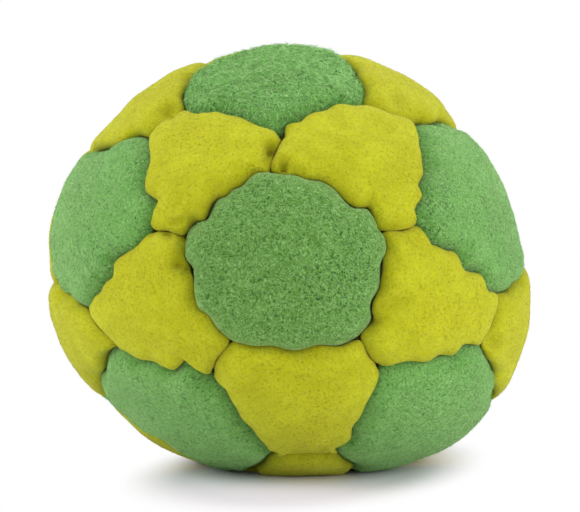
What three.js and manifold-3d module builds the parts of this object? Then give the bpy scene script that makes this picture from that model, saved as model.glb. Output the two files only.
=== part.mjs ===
// A footbag at rest: twelve pentagon and twenty hexagon panels of suede cloth, sewn inside out
// along ninety seams and filled with sand. Millimetres, +Z up. The front pentagon looks towards
// -Y, and the bag stands on the plane Z = 0 with the middle of its outline over the origin.

import * as THREE from "three";
import { mergeVertices } from "three/addons/utils/BufferGeometryUtils.js";
import Module from "manifold-3d";

const wasm = await Module();
wasm.setup();

// Outside of the resting bag, measured over the crowns of its panels
const bagWidth = 52.4;
const bagDepth = 51.5;
const bagHeight = 45.4;
const widestHeight = 0.427 * bagHeight; // level at which the sagging bag is widest
const crownFullness = 2.02; // exponent of the outline above that level, 2 is an ellipse
const baseFullness = 2.12; // exponent of the outline below it
const baseSettling = 1.8; // how far the floor presses the round base in
const baseShift = 2.1; // how far the sand has run to the right at the base
const shiftHeight = 0.595 * bagHeight; // level above which the bag stands upright

// Place of the panels round the bag
const layoutHeight = 0.4626 * bagHeight; // level of the point that the panels are laid out round
const frontPitch = 8.2; // the front pentagon looks up by this many degrees
const frontRoll = -2.3; // and leans to the left
const frontYaw = 0.8; // and turns a little to the right
const shortSeam = 4.6; // seam between two hexagons
const handUnevenness = 0.5; // drift of the corners that the front view doesn't show
const handBow = 0.4; // sideways bow of the seams that it doesn't show

// Cloth and sewing
const clothThickness = 0.7;
const seamClearance = 0.2; // each panel stops this far short of the seam line
const creaseDepth = 1.3; // how far the seams are drawn in below the shoulders
const shoulderWidth = 2.4; // width over which a panel rounds down to its seam
const panelRise = 0.5; // how far a panel swells from its shoulders to its middle
const seamAllowance = 1.8; // cloth turned in beyond the seam
const allowanceSplay = 0.7; // how far its raw edge spreads away from the seam line
const scallopHeight = 0.35; // the stitches pull each seam into waves of this height
const threadDiameter = 0.4;
const stitchDepth = 1.2; // depth of the stitching below the crease
const fillingClearance = 0.35;

// Each long seam has three waves, so its steps and those of the short seam are even numbers
const longSeamSteps = 6;
const shortSeamSteps = 2;
const threadSides = 3;
const searchSteps = 40;

// Rings of each panel, as distances in from the edge of the cloth
const shoulderRing = 0.35;
const flankRing = 1.3;
const innerFlankRing = 3;
const crownShare = 0.5;

// How far the seam corners of the front view sit from an even layout, to the right and up.
// A corner is named by its pentagon and by the pentagon that it points to.
const cornerDrift = {
  "front fore_1": [-0.5, -1.1],
  "front fore_2": [0.3, -0.5],
  "front fore_3": [0.9, 0.6],
  "front fore_4": [0.3, 0.6],
  "front fore_5": [-0.6, -0.2],
  "fore_1 front": [0.2, -0.8],
  "fore_1 fore_2": [-1.6, -0.7],
  "fore_1 fore_5": [0.3, -0.5],
  "fore_1 aft_1": [2, 0],
  "fore_1 aft_5": [-0.8, 0],
  "fore_2 front": [-0.2, -1.1],
  "fore_2 fore_1": [1.2, -0.1],
  "fore_2 fore_3": [3.4, 0],
  "fore_2 aft_1": [-0.5, 1],
  "fore_2 aft_2": [2.5, -1.5],
  "fore_3 front": [0.3, 0.9],
  "fore_3 fore_2": [1.3, -0.3],
  "fore_3 fore_4": [2.6, -1.4],
  "fore_3 aft_2": [2, 0.8],
  "fore_3 aft_3": [0.8, -2.5],
  "fore_4 front": [0.2, 0.3],
  "fore_4 fore_3": [-0.1, -2.5],
  "fore_4 fore_5": [1.4, 0.7],
  "fore_4 aft_3": [-0.5, -2.5],
  "fore_4 aft_4": [-3, 1],
  "fore_5 front": [0.1, -0.6],
  "fore_5 fore_1": [0.2, -0.9],
  "fore_5 fore_4": [-1.4, 0.2],
  "fore_5 aft_4": [0, -1],
  "fore_5 aft_5": [0, -0.3],
};

// How far the long seams of the front view bow out of their pentagon, negative for inwards.
// A seam is named by its pentagon and the two that its ends point to.
const seamBow = {
  "front fore_1 fore_2": 0.5,
  "front fore_2 fore_3": 0.4,
  "front fore_3 fore_4": 0.5,
  "front fore_4 fore_5": 0.7,
  "front fore_5 fore_1": 1.1,
  "fore_1 front fore_2": -0.4,
  "fore_1 fore_5 aft_5": 0.8,
  "fore_1 fore_2 aft_1": 0.6,
  "fore_2 front fore_1": -0.7,
  "fore_3 front fore_4": -0.6,
  "fore_3 fore_2 aft_2": 0.3,
  "fore_4 fore_5 aft_4": 0.7,
  "fore_4 aft_3 aft_4": -0.4,
  "fore_5 front fore_1": -0.3,
};

// Finishes
const greenSuede = new THREE.MeshStandardMaterial({ color: 0x6aa95c, roughness: 0.95, metalness: 0 });
const yellowSuede = new THREE.MeshStandardMaterial({ color: 0xc3c42e, roughness: 0.95, metalness: 0 });
const spunThread = new THREE.MeshStandardMaterial({ color: 0x3e5a2c, roughness: 0.8, metalness: 0 });
const drySand = new THREE.MeshStandardMaterial({ color: 0xb09a72, roughness: 1, metalness: 0 });

const heart = new THREE.Vector3(0, 0, layoutHeight);
const meanRadius = (bagWidth + bagDepth + bagHeight) / 6;

// The round form of the bag

function baseOffset(height) {
  const share = THREE.MathUtils.clamp(1 - height / shiftHeight, 0, 1);
  return baseShift * share * share * (3 - 2 * share);
}

function isOutside(point) {
  const rise = point.z - widestHeight;
  const fullness = rise > 0 ? crownFullness : baseFullness;
  const reach = rise > 0 ? bagHeight - widestHeight : widestHeight + baseSettling;
  const across = Math.hypot((point.x - baseOffset(point.z)) / (bagWidth / 2), point.y / (bagDepth / 2));
  return across ** fullness + Math.abs(rise / reach) ** fullness > 1;
}

function formRadius(direction) {
  let inner = 0;
  let outer = bagWidth + bagDepth + bagHeight;
  for (let step = 0; step < searchSteps; step++) {
    const middle = (inner + outer) / 2;
    if (isOutside(heart.clone().addScaledVector(direction, middle))) {
      outer = middle;
    } else {
      inner = middle;
    }
  }
  return inner;
}

// A point of the bag: drawn in from the round form, pressed flat by the floor, and then set
// inwards from the outer face of the cloth.
function bagPoint(direction, drawnIn, inwards = 0) {
  const pressed = direction.z < 0 ? -layoutHeight / direction.z : Infinity;
  const radius = Math.min(formRadius(direction) - drawnIn, pressed);
  return heart.clone().addScaledVector(direction, radius - inwards);
}

// The even layout of the panels

function layOut(across, forward, up) {
  const direction = new THREE.Vector3(across, -forward, up);
  direction.applyAxisAngle(new THREE.Vector3(0, 1, 0), THREE.MathUtils.degToRad(frontRoll));
  direction.applyAxisAngle(new THREE.Vector3(1, 0, 0), THREE.MathUtils.degToRad(-frontPitch));
  direction.applyAxisAngle(new THREE.Vector3(0, 0, 1), THREE.MathUtils.degToRad(frontYaw));
  return direction;
}

// Five places round the bag, clockwise from the top as the front view shows them
function layOutRing(name, firstPlace, forward) {
  const ring = [];
  const ringRadius = 2 / Math.sqrt(5);
  for (let place = 0; place < 5; place++) {
    const angle = (place + firstPlace) * 2 * Math.PI / 5;
    const direction = layOut(ringRadius * Math.sin(angle), forward, ringRadius * Math.cos(angle));
    ring.push({ name: `${name}_${place + 1}`, direction });
  }
  return ring;
}

const front = { name: "front", direction: layOut(0, 1, 0) };
const back = { name: "back", direction: layOut(0, -1, 0) };
const fore = layOutRing("fore", 0, 1 / Math.sqrt(5));
const aft = layOutRing("aft", 0.5, -1 / Math.sqrt(5));
const pentagons = [front, ...fore, ...aft, back];

// The pentagons next to one pentagon, counterclockwise as seen from outside
function neighboursOf(pentagon) {
  const axis = pentagon.direction;
  const others = pentagons.filter((other) => other !== pentagon);
  others.sort((one, two) => one.direction.angleTo(axis) - two.direction.angleTo(axis));
  const nearest = others.slice(0, 5);
  const across = new THREE.Vector3().crossVectors(axis, nearest[0].direction).normalize();
  const along = new THREE.Vector3().crossVectors(across, axis);
  const turn = (other) => Math.atan2(other.direction.dot(across), other.direction.dot(along));
  return nearest.sort((one, two) => turn(one) - turn(two));
}

// A hexagon lies between three pentagons, counterclockwise as seen from outside
function hexagonBetween(name, one, two, three) {
  const facing = new THREE.Vector3().crossVectors(one.direction, two.direction).dot(three.direction);
  return { name, pentagons: facing > 0 ? [one, two, three] : [one, three, two] };
}

function layOutHexagons() {
  const hexagons = [];
  for (let place = 0; place < 5; place++) {
    const next = (place + 1) % 5;
    const number = place + 1;
    hexagons.push(hexagonBetween(`front_${number}`, front, fore[place], fore[next]));
    hexagons.push(hexagonBetween(`fore_${number}`, fore[place], fore[next], aft[place]));
    hexagons.push(hexagonBetween(`aft_${number}`, aft[place], aft[next], fore[next]));
    hexagons.push(hexagonBetween(`back_${number}`, back, aft[place], aft[next]));
  }
  return hexagons;
}

// The seams, as directions from the heart of the bag

function slideAlongSkin(direction, right, up) {
  const rightwards = new THREE.Vector3(0, 0, 1).cross(direction).normalize();
  const upwards = direction.clone().cross(rightwards);
  const moved = direction.clone();
  moved.addScaledVector(rightwards, right / meanRadius);
  moved.addScaledVector(upwards, up / meanRadius);
  return moved.normalize();
}

// A steady spread of values between -1 and 1 for the unevenness of hand sewing
function uneven(number) {
  return Math.sin(12.9 * number * number + 4.1 * number);
}

function seamCorner(pentagon, towards) {
  const whole = pentagon.direction.angleTo(towards.direction);
  const reach = (whole - shortSeam / meanRadius) / 2;
  const across = new THREE.Vector3().crossVectors(pentagon.direction, towards.direction).normalize();
  const even = pentagon.direction.clone().applyAxisAngle(across, reach);
  const number = pentagons.indexOf(pentagon) * pentagons.length + pentagons.indexOf(towards);
  const drift = cornerDrift[`${pentagon.name} ${towards.name}`]
    ?? [handUnevenness * uneven(number), handUnevenness * uneven(number + 0.5)];
  return slideAlongSkin(even, ...drift);
}

// Points of a seam after its first end and before its last, bowed and waved to one side
function seamBetween(first, last, steps, bow, wave) {
  const sideways = new THREE.Vector3().crossVectors(last, first).normalize();
  const points = [];
  for (let step = 1; step < steps; step++) {
    const share = step / steps;
    const shift = bow * 4 * share * (1 - share) + (step % 2 === 1 ? wave : -wave);
    const point = first.clone().lerp(last, share).normalize();
    points.push(point.addScaledVector(sideways, shift / meanRadius).normalize());
  }
  return points;
}

function longSeam(pentagon, one, two, steps, wave) {
  const number = pentagons.indexOf(pentagon) * pentagons.length + pentagons.indexOf(one);
  const known = seamBow[`${pentagon.name} ${one.name} ${two.name}`]
    ?? seamBow[`${pentagon.name} ${two.name} ${one.name}`];
  const bow = known ?? handBow * uneven(number);
  return seamBetween(seamCorner(pentagon, one), seamCorner(pentagon, two), steps, bow, wave);
}

function shortSeamBetween(one, two, steps, wave) {
  if (pentagons.indexOf(one) > pentagons.indexOf(two)) {
    return shortSeamBetween(two, one, steps, wave).reverse();
  }
  return seamBetween(seamCorner(one, two), seamCorner(two, one), steps, 0, wave);
}

// The seam line all round a panel, counterclockwise as seen from outside. The fineness of 1
// gives every wave, and 2 gives half the points, which leave the waves out.
function pentagonRim(pentagon, fineness) {
  const neighbours = neighboursOf(pentagon);
  const wave = fineness === 1 ? scallopHeight : 0;
  const rim = [];
  neighbours.forEach((one, place) => {
    const two = neighbours[(place + 1) % neighbours.length];
    rim.push(seamCorner(pentagon, one));
    rim.push(...longSeam(pentagon, one, two, longSeamSteps / fineness, wave));
  });
  return rim;
}

function hexagonRim(hexagon, fineness) {
  const wave = fineness === 1 ? scallopHeight : 0;
  const rim = [];
  hexagon.pentagons.forEach((one, place) => {
    const two = hexagon.pentagons[(place + 1) % 3];
    const three = hexagon.pentagons[(place + 2) % 3];
    rim.push(seamCorner(one, two));
    rim.push(...shortSeamBetween(one, two, shortSeamSteps / fineness, wave));
    rim.push(seamCorner(two, one));
    rim.push(...longSeam(two, three, one, longSeamSteps / fineness, wave).reverse());
  });
  return rim;
}

function middleOf(rim) {
  const sum = new THREE.Vector3();
  rim.forEach((direction) => sum.add(direction));
  return sum.normalize();
}

// Rings of points on a panel, each a given distance in from the seam line

function drawnInAt(distance, span) {
  const tuck = Math.max(0, 1 - (distance - seamClearance) / shoulderWidth);
  const shoulder = creaseDepth * (1 - Math.sqrt(1 - tuck * tuck));
  return shoulder + panelRise * (1 - distance / span) ** 2;
}

function ringAt(rim, middle, distance, inwards) {
  return rim.map((direction) => {
    const span = direction.angleTo(middle) * meanRadius;
    const moved = direction.clone().lerp(middle, distance / span).normalize();
    return bagPoint(moved, drawnInAt(distance, span), inwards);
  });
}

// A ring at one depth below the deepest part of the crease
function ringBelowCrease(rim, middle, distance, depth) {
  return rim.map((direction) => {
    const span = direction.angleTo(middle) * meanRadius;
    const moved = direction.clone().lerp(middle, distance / span).normalize();
    return bagPoint(moved, creaseDepth + panelRise, depth);
  });
}

function crownRing(rim, middle) {
  return rim.map((direction) => {
    const moved = direction.clone().lerp(middle, crownShare).normalize();
    return bagPoint(moved, panelRise * (1 - crownShare) ** 2);
  });
}

// Triangles between rings, with their outer side where the rings run counterclockwise from
// the middle outwards

class Skin {
  constructor() {
    this.points = [];
    this.faces = [];
  }

  addRing(ring) {
    const first = this.points.length;
    this.points.push(...ring);
    return { first, count: ring.length };
  }

  addFan(centre, ring) {
    for (let step = 0; step < ring.count; step++) {
      this.faces.push(centre.first, this.at(ring, step), this.at(ring, step + 1));
    }
  }

  closeFan(ring, centre) {
    for (let step = 0; step < ring.count; step++) {
      this.faces.push(this.at(ring, step + 1), this.at(ring, step), centre.first);
    }
  }

  // From one ring to the next one out, which has as many points or twice as many
  addBand(inner, outer) {
    const ratio = outer.count / inner.count;
    for (let step = 0; step < inner.count; step++) {
      const start = step * ratio;
      this.faces.push(this.at(inner, step), this.at(outer, start), this.at(outer, start + 1));
      this.faces.push(this.at(inner, step), this.at(outer, start + 1), this.at(inner, step + 1));
      if (ratio === 2) {
        this.faces.push(this.at(inner, step + 1), this.at(outer, start + 1), this.at(outer, start + 2));
      }
    }
  }

  // From one ring to the next one, which has half as many points
  addNarrowingBand(outer, inner) {
    for (let step = 0; step < inner.count; step++) {
      const start = 2 * step;
      this.faces.push(this.at(outer, start), this.at(inner, step), this.at(outer, start + 1));
      this.faces.push(this.at(outer, start + 1), this.at(inner, step), this.at(inner, step + 1));
      this.faces.push(this.at(outer, start + 1), this.at(inner, step + 1), this.at(outer, start + 2));
    }
  }

  at(ring, step) {
    return ring.first + step % ring.count;
  }

  geometry() {
    const geometry = new THREE.BufferGeometry().setFromPoints(this.points);
    geometry.setIndex(this.faces);
    return geometry;
  }
}

// One cut piece of cloth: its swelling face, its edge turned in as the seam allowance, and its
// inner face
function panelGeometry(fineRim, coarseRim) {
  const middle = middleOf(coarseRim);
  const rawReach = seamClearance + allowanceSplay;
  const skin = new Skin();
  const centre = skin.addRing([bagPoint(middle, 0)]);
  const crown = skin.addRing(crownRing(coarseRim, middle));
  const flank = skin.addRing(ringAt(fineRim, middle, seamClearance + flankRing, 0));
  const shoulder = skin.addRing(ringAt(fineRim, middle, seamClearance + shoulderRing, 0));
  const fold = skin.addRing(ringAt(fineRim, middle, seamClearance, 0));
  const rawOuter = skin.addRing(ringBelowCrease(coarseRim, middle, rawReach, seamAllowance));
  const rawInner = skin.addRing(ringBelowCrease(coarseRim, middle, rawReach + clothThickness, seamAllowance));
  const innerFold = skin.addRing(ringAt(coarseRim, middle, seamClearance + clothThickness, clothThickness));
  const innerFlank = skin.addRing(ringAt(coarseRim, middle, seamClearance + innerFlankRing, clothThickness));
  const innerCentre = skin.addRing([bagPoint(middle, 0, clothThickness)]);
  skin.addFan(centre, crown);
  skin.addBand(crown, flank);
  skin.addBand(flank, shoulder);
  skin.addBand(shoulder, fold);
  skin.addNarrowingBand(fold, rawOuter);
  skin.addBand(rawOuter, rawInner);
  skin.addBand(rawInner, innerFold);
  skin.addBand(innerFold, innerFlank);
  skin.closeFan(innerFlank, innerCentre);
  return skin.geometry();
}

// The sand fills the bag to a small clearance, with a groove round the allowances of each seam
function fillingGeometry(rims) {
  const grooveDepth = seamAllowance + fillingClearance;
  const grooveReach = seamClearance + allowanceSplay + clothThickness + fillingClearance;
  const skin = new Skin();
  for (const rim of rims) {
    const middle = middleOf(rim);
    const centre = skin.addRing([bagPoint(middle, 0, clothThickness + fillingClearance)]);
    const brim = skin.addRing(ringAt(rim, middle, grooveReach, clothThickness + fillingClearance));
    const bank = skin.addRing(ringBelowCrease(rim, middle, grooveReach, grooveDepth));
    const bed = skin.addRing(ringBelowCrease(rim, middle, 0, grooveDepth));
    skin.addFan(centre, brim);
    skin.addBand(brim, bank);
    skin.addBand(bank, bed);
  }
  return mergeVertices(skin.geometry());
}

// The thread: one closed run round each pentagon, and a link along each short seam

function stitchPoint(direction) {
  return bagPoint(direction, creaseDepth + panelRise, stitchDepth);
}

function threadLoop(points) {
  const skin = new Skin();
  const sections = points.map((point, place) => {
    const before = points[(place + points.length - 1) % points.length];
    const after = points[(place + 1) % points.length];
    const along = after.clone().sub(before).normalize();
    const sideways = along.clone().cross(point.clone().sub(heart)).normalize();
    const outwards = sideways.clone().cross(along);
    const section = [];
    for (let side = 0; side < threadSides; side++) {
      const angle = side * 2 * Math.PI / threadSides;
      const corner = point.clone().addScaledVector(sideways, threadDiameter / 2 * Math.cos(angle));
      section.push(corner.addScaledVector(outwards, threadDiameter / 2 * Math.sin(angle)));
    }
    return skin.addRing(section);
  });
  sections.forEach((section, place) => skin.addBand(section, sections[(place + 1) % sections.length]));
  return skin.geometry();
}

function threadLink(from, to) {
  const length = from.distanceTo(to);
  const link = new THREE.CylinderGeometry(threadDiameter / 2, threadDiameter / 2, length, threadSides);
  const along = to.clone().sub(from).normalize();
  link.applyQuaternion(new THREE.Quaternion().setFromUnitVectors(new THREE.Vector3(0, 1, 0), along));
  const centre = from.clone().add(to).multiplyScalar(0.5);
  return link.translate(centre.x, centre.y, centre.z);
}

function toSolid(geometry) {
  const bare = geometry.clone();
  bare.deleteAttribute("normal");
  bare.deleteAttribute("uv");
  const merged = mergeVertices(bare);
  return new wasm.Manifold(new wasm.Mesh({
    numProp: 3,
    vertProperties: new Float32Array(merged.attributes.position.array),
    triVerts: new Uint32Array(merged.index.array),
  }));
}

function toGeometry(solid) {
  const mesh = solid.getMesh();
  const geometry = new THREE.BufferGeometry();
  geometry.setAttribute("position", new THREE.BufferAttribute(new Float32Array(mesh.vertProperties), 3));
  geometry.setIndex(Array.from(mesh.triVerts));
  return geometry;
}

function threadGeometry() {
  let net = null;
  for (const pentagon of pentagons) {
    const loop = toSolid(threadLoop(pentagonRim(pentagon, 2).map(stitchPoint)));
    net = net ? net.add(loop) : loop;
    for (const other of neighboursOf(pentagon)) {
      if (pentagons.indexOf(other) > pentagons.indexOf(pentagon)) {
        const from = stitchPoint(seamCorner(pentagon, other));
        const to = stitchPoint(seamCorner(other, pentagon));
        net = net.add(toSolid(threadLink(from, to)));
      }
    }
  }
  return toGeometry(net);
}

// The finished bag

const bag = new THREE.Group();

function addPiece(name, geometry, material) {
  geometry.computeVertexNormals();
  const piece = new THREE.Mesh(geometry, material);
  piece.name = name;
  bag.add(piece);
}

const coarseRims = [];

for (const pentagon of pentagons) {
  const coarseRim = pentagonRim(pentagon, 2);
  coarseRims.push(coarseRim);
  addPiece(`pentagon_panel_${pentagon.name}`, panelGeometry(pentagonRim(pentagon, 1), coarseRim), greenSuede);
}

for (const hexagon of layOutHexagons()) {
  const coarseRim = hexagonRim(hexagon, 2);
  coarseRims.push(coarseRim);
  addPiece(`hexagon_panel_${hexagon.name}`, panelGeometry(hexagonRim(hexagon, 1), coarseRim), yellowSuede);
}

addPiece("seam_thread", threadGeometry(), spunThread);
addPiece("sand_filling", fillingGeometry(coarseRims), drySand);

const outline = new THREE.Box3().setFromObject(bag).getCenter(new THREE.Vector3());
bag.position.set(-outline.x, -outline.y, 0);

export default bag;
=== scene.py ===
import math
import bmesh
import bpy
import numpy as np
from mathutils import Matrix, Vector, kdtree, noise


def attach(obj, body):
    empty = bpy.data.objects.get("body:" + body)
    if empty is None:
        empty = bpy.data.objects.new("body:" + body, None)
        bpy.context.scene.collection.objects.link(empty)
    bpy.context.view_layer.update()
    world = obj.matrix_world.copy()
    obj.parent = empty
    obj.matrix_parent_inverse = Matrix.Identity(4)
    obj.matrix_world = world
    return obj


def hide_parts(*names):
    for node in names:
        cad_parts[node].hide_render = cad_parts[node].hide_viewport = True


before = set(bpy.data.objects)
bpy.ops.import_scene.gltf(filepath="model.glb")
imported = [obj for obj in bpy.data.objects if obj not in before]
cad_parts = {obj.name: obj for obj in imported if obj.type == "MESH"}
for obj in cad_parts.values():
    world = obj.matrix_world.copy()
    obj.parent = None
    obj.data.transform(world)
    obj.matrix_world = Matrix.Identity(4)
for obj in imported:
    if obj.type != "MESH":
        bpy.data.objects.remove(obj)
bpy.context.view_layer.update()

mm = 0.001
white = (1, 1, 1, 1)


def deselectAll():
    bpy.ops.object.select_all(action="DESELECT")


def makeActive(piece):
    deselectAll()
    piece.select_set(True)
    bpy.context.view_layer.objects.active = piece


def linearColour(red, green, blue):
    # a colour as a paint program shows it, turned into Blender's linear values
    def one(value):
        value /= 255
        return value / 12.92 if value <= 0.04045 else ((value + 0.055) / 1.055) ** 2.4
    return (one(red), one(green), one(blue), 1)


def unit(vectors):
    return vectors / np.linalg.norm(vectors, axis=-1, keepdims=True)


def smoothStep(low, high, values):
    share = np.clip((values - low) / (high - low), 0, 1)
    return share * share * (3 - 2 * share)


def smoothedRing(values, times):
    for _ in range(times):
        values = (np.roll(values, 1, axis=0) + 2 * values + np.roll(values, -1, axis=0)) / 4
    return values


def meshPiece(name, points, faces, material):
    mesh = bpy.data.meshes.new(name)
    mesh.from_pydata([tuple(p) for p in points], [], faces)
    mesh.update()
    mesh.validate()
    piece = bpy.data.objects.new(name, mesh)
    bpy.context.scene.collection.objects.link(piece)
    mesh.materials.append(material)
    mesh.polygons.foreach_set("use_smooth", [True] * len(mesh.polygons))
    return piece


def readNumbers(items, key, width, kind=float):
    values = np.zeros(len(items) * width, kind)
    items.foreach_get(key, values)
    return values.reshape(-1, width)


def nodeAdder(tree):
    # gives a function that adds a node, and links or sets its inputs
    def add(kind, inputs=None, **settings):
        made = tree.nodes.new(kind)
        for key, value in settings.items():
            setattr(made, key, value)
        for key, value in (inputs or {}).items():
            if isinstance(value, bpy.types.NodeSocket):
                tree.links.new(value, made.inputs[key])
            else:
                made.inputs[key].default_value = value
        return made
    return add


def emptyMaterial(name):
    material = bpy.data.materials.new(name)
    material.use_nodes = True
    material.node_tree.nodes.clear()
    return material, nodeAdder(material.node_tree)


def mixed(add, share, one, two):
    return add("ShaderNodeMix", {0: share, 6: one, 7: two}, data_type="RGBA").outputs[2]


def spread(add, value, limits):
    # 0 at the first limit and 1 at the second
    low, high = limits
    return add("ShaderNodeMapRange", {"Value": value, "From Min": low, "From Max": high}).outputs[0]


def maths(add, operation, *values):
    return add("ShaderNodeMath", dict(enumerate(values)), operation=operation).outputs[0]


def noisy(add, place, inputs, **settings):
    return add("ShaderNodeTexNoise", {"Vector": place, **inputs}, **settings).outputs["Fac"]


def coat(add, colour, inputs, height=None, finish=None):
    # the surface of a material, bumped where a height is given
    if height:
        bump = add("ShaderNodeBump", {"Height": height, "Strength": finish["bump"],
                                      "Distance": finish["relief"] * mm})
        inputs = {**inputs, "Normal": bump.outputs["Normal"]}
    shader = add("ShaderNodeBsdfPrincipled", {"Base Color": colour, **inputs})
    add("ShaderNodeOutputMaterial", {"Surface": shader.outputs[0]})


cameraSet = {
    "distance": 0.600,
    "elevation": 6,  # degrees above the floor
    "lens": 345,
    "sensor": 36,
    "clip": (0.05, 20),
    "lookAt": (0.00022, 0, 0.02245),
}


def placeCamera():
    bpy.ops.object.camera_add()
    camera = bpy.context.object
    camera.name = "photoCamera"
    camera.data.lens = cameraSet["lens"]
    camera.data.sensor_width = cameraSet["sensor"]
    camera.data.clip_start, camera.data.clip_end = cameraSet["clip"]
    lift = math.radians(cameraSet["elevation"])
    target = Vector(cameraSet["lookAt"])
    back = Vector((0, -math.cos(lift), math.sin(lift)))
    camera.location = target + back * cameraSet["distance"]
    camera.rotation_euler = (-back).to_track_quat("-Z", "Y").to_euler()
    bpy.context.scene.camera = camera


def asSeen(points):
    # millimetres across and up in the camera's view, measured where the bag is
    lift = math.radians(cameraSet["elevation"])
    back = np.array([0, -math.cos(lift), math.sin(lift)])
    upwards = np.array([0, math.sin(lift), math.cos(lift)])
    away = points - np.array(cameraSet["lookAt"])
    scale = cameraSet["distance"] / (cameraSet["distance"] - away @ back)
    return np.stack([away[:, 0] * scale, (away @ upwards) * scale], axis=1) / mm


lightSet = {
    "worldStrength": 0.61,
    "aim": (0, 0, 0.022),
    "lamps": {
        # watts, width in metres, place
        "topLamp": (1.5, 0.32, (-0.08, 0.32, 0.78)),
        "rightLamp": (2.6, 0.5, (0.6, -0.18, 0.2)),
        "leftLamp": (2.5, 0.5, (-0.6, -0.12, 0.42)),
    },
}


def placeLight(name, power, size, place):
    bpy.ops.object.light_add(type="AREA", location=place)
    lamp = bpy.context.object
    lamp.name = name
    lamp.data.energy = power
    lamp.data.size = size
    aim = Vector(lightSet["aim"]) - Vector(place)
    lamp.rotation_euler = aim.to_track_quat("-Z", "Y").to_euler()


def setWorld():
    world = bpy.data.worlds.new("studioAir")
    bpy.context.scene.world = world
    world.use_nodes = True
    world.node_tree.nodes.clear()
    add = nodeAdder(world.node_tree)
    air = add("ShaderNodeBackground", {"Color": white, "Strength": lightSet["worldStrength"]})
    backdrop = add("ShaderNodeBackground", {"Color": white, "Strength": 1})
    # the camera, and what mirrors or looks through to it, sees the white backdrop
    rays = add("ShaderNodeLightPath").outputs
    seen = maths(add, "MAXIMUM", rays["Is Camera Ray"], rays["Is Glossy Ray"])
    seen = maths(add, "MAXIMUM", seen, rays["Is Transmission Ray"])
    both = add("ShaderNodeMixShader", {0: seen, 1: air.outputs[0], 2: backdrop.outputs[0]})
    add("ShaderNodeOutputWorld", {"Surface": both.outputs[0]})


floorSet = {
    "size": 3,
    "drop": 0.00002,  # below the bag's base
    "colour": (0.86, 0.86, 0.86, 1),
    # for the camera: its shadow stays grey, and ends in the white backdrop round the bag
    "seenColour": (0.85, 0.81, 1.0, 1),
    "seenFurtherOut": (0.88, 0.825, 0.89, 1),
    "shadowMiddle": (0.0018, -0.006, 0),
    "shadowReach": (0.0188, 0.036, 1),
    "shadowTurn": -0.26,  # radians: in front of the bag the shadow lies further left
    "shadowEdge": (0.6, 1.0),  # shares of the reach over which it fades
}


def placeFloor():
    deselectAll()
    bpy.ops.mesh.primitive_plane_add(size=floorSet["size"], location=(0, 0, -floorSet["drop"]))
    floor = bpy.context.object
    floor.name = "studioFloor"
    material, add = emptyMaterial("paleFloor")
    place = add("ShaderNodeTexCoord").outputs["Object"]
    around = add("ShaderNodeMapping", {"Vector": place, "Location": floorSet["shadowMiddle"],
                                       "Rotation": (0, 0, floorSet["shadowTurn"]),
                                       "Scale": floorSet["shadowReach"]}, vector_type="TEXTURE")
    away = add("ShaderNodeVectorMath", {0: around.outputs[0]}, operation="LENGTH").outputs["Value"]
    low, high = floorSet["shadowEdge"]
    faded = add("ShaderNodeMapRange", {"Value": away, "From Min": low, "From Max": high},
                interpolation_type="SMOOTHSTEP")
    seen = add("ShaderNodeLightPath").outputs["Is Camera Ray"]
    share = maths(add, "MULTIPLY", faded.outputs[0], seen)
    tone = mixed(add, away, floorSet["seenColour"], floorSet["seenFurtherOut"])
    diffuse = add("ShaderNodeBsdfDiffuse", {"Color": mixed(add, seen, floorSet["colour"], tone)})
    bright = add("ShaderNodeEmission", {"Color": white, "Strength": 1})
    both = add("ShaderNodeMixShader", {0: share, 1: diffuse.outputs[0], 2: bright.outputs[0]})
    add("ShaderNodeOutputMaterial", {"Surface": both.outputs[0]})
    floor.data.materials.append(material)


greenSet = {
    "name": "greenSuede",
    "cloth": linearColour(98, 164, 67),
    "blotch": linearColour(116, 180, 84),
    "worn": linearColour(82, 146, 54),  # where the nap lies the other way
    "wornShare": 0.45,
    "wornPits": 2.2,  # so many times the share of pits there
    "pit": linearColour(28, 76, 20),
    "pitShare": 0.82,
    "fibre": linearColour(172, 226, 136),
    "fibreShare": 0.58,
    # painted crease shade: a darker tone near a seam and in the folds
    "edge": linearColour(62, 112, 22),  # near a seam
    "edgeShare": 0.6,
    "sheen": 1.0,
    "sheenTint": linearColour(198, 232, 174),
    "bump": 0.6,
    "relief": 0.09,  # mm
}

# the front panel has a shorter nap; its darker cloth is painted shade, and its lips and folds have a
# painted pale highlight
frontSet = dict(
    greenSet,
    name="greenSuedeFront",
    cloth=linearColour(84, 133, 44),
    blotch=linearColour(98, 148, 57),
    worn=linearColour(84, 139, 48),
    wornShare=0.3,
    pitShare=0.9,
    fibreShare=0.7,
    # painted pale highlight on the lips and in the folds
    edge=linearColour(168, 196, 112),
    sheen=0.5,
)

yellowSet = {
    "name": "yellowSuede",
    "cloth": linearColour(191, 192, 17),
    "blotch": linearColour(208, 211, 34),
    "worn": linearColour(194, 188, 12),
    "wornShare": 0.4,
    "wornPits": 1.6,
    "pit": linearColour(146, 142, 8),
    "pitShare": 0.5,
    "fibre": linearColour(222, 227, 70),
    "fibreShare": 0.34,
    # painted crease shade: a darker, warmer tone near a seam and in the folds
    "edge": linearColour(156, 146, 8),
    "edgeShare": 0.6,
    "sheen": 0.3,
    "sheenTint": linearColour(236, 238, 160),
    "bump": 0.6,
    "relief": 0.06,
}

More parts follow.
